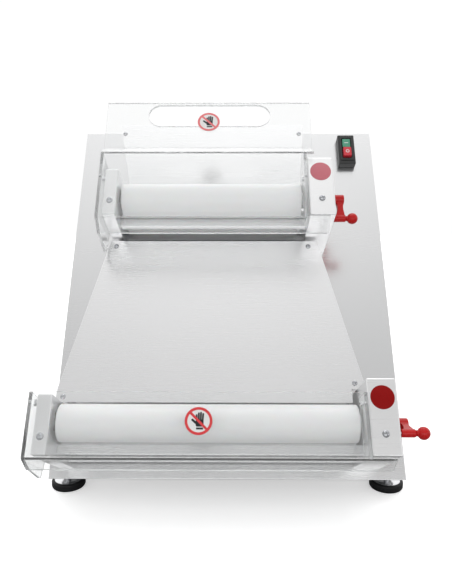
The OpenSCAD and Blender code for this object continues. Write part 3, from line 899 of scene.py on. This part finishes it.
def lever_place(head):
    """The lever's own frame: x out of the bracket, y away from the ball."""
    pivot = on_slope(JOINTS[f"{head}_lever_turn"]["pos_m"])
    knob_low, knob_high = slope_box(f"{head}_index_knob")
    ball_y = (knob_low.y + knob_high.y) / 2 - pivot.y
    ball_z = (knob_low.z + knob_high.z) / 2 - pivot.z
    turn = math.atan2(-ball_z, -ball_y)
    origin = Vector((slope_box(f"{head}_right_bracket")[1].x, pivot.y, pivot.z))
    return SLOPE @ Matrix.Translation(origin) @ Matrix.Rotation(turn, 4, "X")


def turned_bar(start, end, radius):
    """Half outline of a solid bar, for lathe."""
    return [(start, 0), (start, radius), (end, radius), (end, 0)]


def add_lever(head):
    """Moulded lever with a waisted arm, its shapes melted together."""
    edge, waist, half_t = 1.2 * MM, 30 * MM, 4.4 * MM
    bm = bmesh.new()
    lathe(bm, rounded(turned_bar(1 * MM, 20 * MM, 8 * MM), edge, closed=False), ALONG_X)
    sleeve = rounded(turned_bar(2 * MM, 20.8 * MM, 5.4 * MM), edge, closed=False)
    lathe(bm, sleeve, Matrix.Translation((0, -LEVER_LEN, 0)) @ ALONG_X)
    arm = [
        (7 * MM, 0), (19.6 * MM, 0), (17.6 * MM, -LEVER_LEN * 0.5),
        (20 * MM, -LEVER_LEN), (5 * MM, -LEVER_LEN), (9.6 * MM, -LEVER_LEN * 0.5),
    ]
    prism(bm, rounded(arm, [0, 0, waist, 0, 0, waist], steps=8), -half_t, half_t)
    red = SLOT_MATERIALS["red_plastic"]
    lever = finished(f"{head}_lever_body", bm, [red], sharp=180)
    remesh = lever.modifiers.new("remesh", "REMESH")
    remesh.mode = "VOXEL"
    remesh.voxel_size = 0.55 * MM
    smooth = lever.modifiers.new("smooth", "SMOOTH")
    smooth.iterations = 5
    applied(lever)
    lever.data.transform(lever_place(head))
    lever.data.shade_smooth()
    placed(lever, f"{head}_lever", "red_plastic", f"{head}_gap_lever")


def add_knob(head):
    """Ball with its neck, and the steel plunger inside it."""
    place = lever_place(head) @ Matrix.Translation((0, -LEVER_LEN, 0)) @ ALONG_X
    centre, radius, neck, neck_start, steps = 31 * MM, 8.5 * MM, 4 * MM, 21.3 * MM, 14
    start = math.acos(-math.sqrt(1 - (neck / radius) ** 2))
    turns = [start * (1 - k / steps) for k in range(steps)]
    ball = [(centre + radius * math.cos(a), radius * math.sin(a)) for a in turns]
    chamfer = 0.6 * MM
    foot = [(neck_start, 0), (neck_start, neck - chamfer), (neck_start + chamfer, neck)]
    bm = bmesh.new()
    lathe(bm, [*foot, *ball, (centre + radius, 0)], place)
    red = SLOT_MATERIALS["red_plastic"]
    knob = finished(f"{head}_knob_ball", bm, [red], sharp=50)
    placed(knob, f"{head}_knob", "red_plastic", f"{head}_index_knob")
    bm = bmesh.new()
    pin = turned_bar(0.3 * MM, 21.4 * MM, 1.8 * MM)
    lathe(bm, rounded(pin, 0.6 * MM, closed=False), place, segments=24)
    plunger = finished(f"{head}_knob_plunger", bm, [SLOT_MATERIALS["bright_steel"]])
    placed(plunger, f"{head}_knob", "bright_steel")


# Feet


def add_feet():
    """Rubber pads, and studs with their discs, threads and a nut each side of the base plate."""
    centres = [Matrix.Translation(middle_at(*box_of(pad), 0)) for pad in solids("foot_pads")]
    pad = rounded(
        [(0, 0), (0, 23.4 * MM), (2.5 * MM, 25 * MM), (10 * MM, 25 * MM), (12 * MM, 22 * MM),
         (11.6 * MM, 21 * MM), (9 * MM, 21 * MM), (9 * MM, 0)],
        [0, 0.8 * MM, 2 * MM, 2 * MM, 1 * MM, 0.5 * MM, 0, 0], closed=False,
    )
    bm = bmesh.new()
    lathe(bm, pad, segments=72)
    repeated("foot_pad_rubber", bm, centres, "foot_pads")
    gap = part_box("base_plate")[0].z
    pitch, crest, root = 1.25 * MM, 4 * MM, 3.5 * MM
    thread_start, thread_end = 14.5 * MM, gap + 17.5 * MM
    count = int((thread_end - thread_start) / pitch)
    thread = [
        (thread_start + (i + half / 2) * pitch, crest if half else root)
        for i in range(count)
        for half in (0, 1)
    ]
    disc = rounded(
        [(9 * MM, 0), (9 * MM, 20.8 * MM), (11.4 * MM, 20.8 * MM), (13 * MM, 17.5 * MM),
         (13.4 * MM, 4.4 * MM)],
        [0, 0.4 * MM, 1.2 * MM, 2 * MM, 0], closed=False,
    )
    bm = bmesh.new()
    lathe(bm, [*disc, *thread, (thread_end, root), (thread_end, 0)], segments=64)
    chamfer, across, bore, nut_h, base_t = 0.9 * MM, 8 * MM, 4.1 * MM, 7 * MM, 1.5 * MM
    for low in (gap - nut_h, gap + base_t):
        high = low + nut_h
        nut = [
            (low, bore), (low, across * 0.9), (low + chamfer, across),
            (high - chamfer, across), (high, across * 0.9), (high, bore),
        ]
        lathe(bm, nut, segments=6, ring=True)
    repeated("foot_stud_set", bm, centres, "foot_studs")


# Switch


def add_switch():
    """The switch's bezel, and a plain bar and ring raised on the two buttons."""
    for node in ("switch_housing", "start_button", "stop_button"):
        softened(node, (1.6 if node == "switch_housing" else 1.1) * MM)
    low, high = slope_box("switch_housing")
    corner = 2.4 * MM
    outer = rounded(rectangle(23.5 * MM, 50 * MM, (0, 1 * MM)), corner)
    inner = rounded(rectangle(17 * MM, 41.5 * MM, (0, 1.6 * MM)), corner)
    place = SLOPE @ Matrix.Translation(middle_at(low, high, high.z))
    bm = bmesh.new()
    frame_prism(bm, outer, inner, -0.4 * MM, 1.4 * MM, place)
    bezel = bevelled(finished("switch_bezel", bm, [SLOT_MATERIALS["black_plastic"]]), 0.5 * MM, 3)
    placed(weighted(bezel), "cabinet", "black_plastic")
    white = principled("mark_white", Base_Color=(0.75, 0.75, 0.74, 1), Roughness=0.4)[0]
    sunk, raised = -0.1 * MM, 0.3 * MM
    ring_in, ring_out = 2.1 * MM, 3.2 * MM
    for node in ("start_button", "stop_button"):
        low, high = slope_box(node)
        bm = bmesh.new()
        if node == "start_button":
            prism(bm, capsule((-3 * MM, 0), (3 * MM, 0), 0.6 * MM), sunk, raised)
        else:
            ring = [(sunk, ring_in), (raised, ring_in), (raised, ring_out), (sunk, ring_out)]
            lathe(bm, ring, ring=True)
        place = SLOPE @ Matrix.Translation(middle_at(low, high, high.z))
        placed(finished(f"{node}_mark", bm, [white], place), node, "white_plastic")


# Studio

WORLD_STRENGTH = 2
# Each is the sine of an elevation and the brightness there, on the side the front faces
FRONT_LIGHT = [
    (0.0, 1.1), (0.4, 1.05), (0.5, 0.62), (0.59, 0.57),
    (0.73, 0.7), (0.81, 0.85), (0.92, 1.08), (1.0, 1.3),
]
BACK_LIGHT = 1.2
# From where to where, along y, the front light gives way to the back light
LIGHT_FADE = (-0.15, 0.45)
BACKDROP_WHITE = 1.02
FLOOR_HALF, FLOOR_T = 6, 0.02
FLOOR_GLOW = 0.47
LAMP_AIM = (0, 0, 0.3)


def grey(brightness):
    return (brightness / WORLD_STRENGTH,) * 3


def seen_straight(owner):
    """1 on what the camera sees directly or through clear sheet, with no mirror between, else 0."""
    path = add_node(owner, "ShaderNodeLightPath").outputs
    either = computed(owner, "MAXIMUM", path["Is Camera Ray"], path["Is Transmission Ray"])
    bounces = computed(owner, "ADD", path["Diffuse Depth"], path["Glossy Depth"])
    return computed(owner, "MULTIPLY", either, computed(owner, "LESS_THAN", bounces, 0.5))


def add_floor():
    """A pale table. It glows a little where the camera sees it, and lights the object less."""
    bm = bmesh.new()
    prism(bm, rectangle(2 * FLOOR_HALF, 2 * FLOOR_HALF), -FLOOR_T, 0)
    material, shader = principled("floor_paint", Roughness=0.9, Specular_IOR_Level=0.2)
    wide = noise(material, (3, 3, 3))
    paint = mixed(material, wide, (0.36, 0.36, 0.36), (0.39, 0.39, 0.39))
    link(material, paint, shader.inputs["Base Color"])
    bright = add_node(
        material, "ShaderNodeBsdfPrincipled", Base_Color=(0.98, 0.98, 0.98, 1), Roughness=0.9,
        Emission_Color=(1, 1, 1, 1), Emission_Strength=FLOOR_GLOW,
    )
    two_shaders(material, seen_straight(material), shader, bright)
    finished("floor", bm, [material])


def add_world():
    """Plain light behind the object, and in front of it greys that change with height."""
    world = bpy.data.worlds.new("studio")
    world.use_nodes = True
    bpy.context.scene.world = world
    place = add_node(world, "ShaderNodeTexCoord")
    split = add_node(world, "ShaderNodeSeparateXYZ")
    front = add_node(world, "ShaderNodeValToRGB")
    link(world, place.outputs["Generated"], split.inputs["Vector"])
    elements = front.color_ramp.elements
    while len(elements) < len(FRONT_LIGHT):
        elements.new(0.5)
    for element, (at, brightness) in zip(elements, FRONT_LIGHT):
        element.position = at
        element.color = (*grey(brightness), 1)
    link(world, split.outputs["Z"], front.inputs["Fac"])
    backwards = ranged(world, split.outputs["Y"], 0, 1, *LIGHT_FADE)
    around = mixed(world, backwards, front.outputs["Color"], grey(BACK_LIGHT))
    seen = mixed(world, seen_straight(world), around, grey(BACKDROP_WHITE))
    background = world.node_tree.nodes["Background"]
    background.inputs["Strength"].default_value = WORLD_STRENGTH
    link(world, seen, background.inputs["Color"])


def add_softbox(name, at, size, power):
    """A lamp of the given width and height, facing the object."""
    light = bpy.data.objects.new(name, bpy.data.lights.new(name, "AREA"))
    light.data.shape = "RECTANGLE"
    light.data.size, light.data.size_y = size
    light.data.energy = power
    light.location = at
    light.rotation_euler = (Vector(LAMP_AIM) - Vector(at)).to_track_quat("-Z", "Y").to_euler()
    bpy.context.scene.collection.objects.link(light)


def add_studio():
    bpy.context.scene.view_settings.view_transform = "Standard"
    add_floor()
    add_world()
    add_softbox("overhead", (0, 0.5, 1.9), (1.6, 1.2), power=6)
    add_softbox("front", (0, -2.4, 0.5), (3.6, 0.9), power=9)


add_sheets()
add_screws()
add_rollers()
add_guards()
add_signs()
add_discs()
for head in ("upper", "lower"):
    add_lever(head)
    add_knob(head)
add_feet()
add_switch()
add_studio()
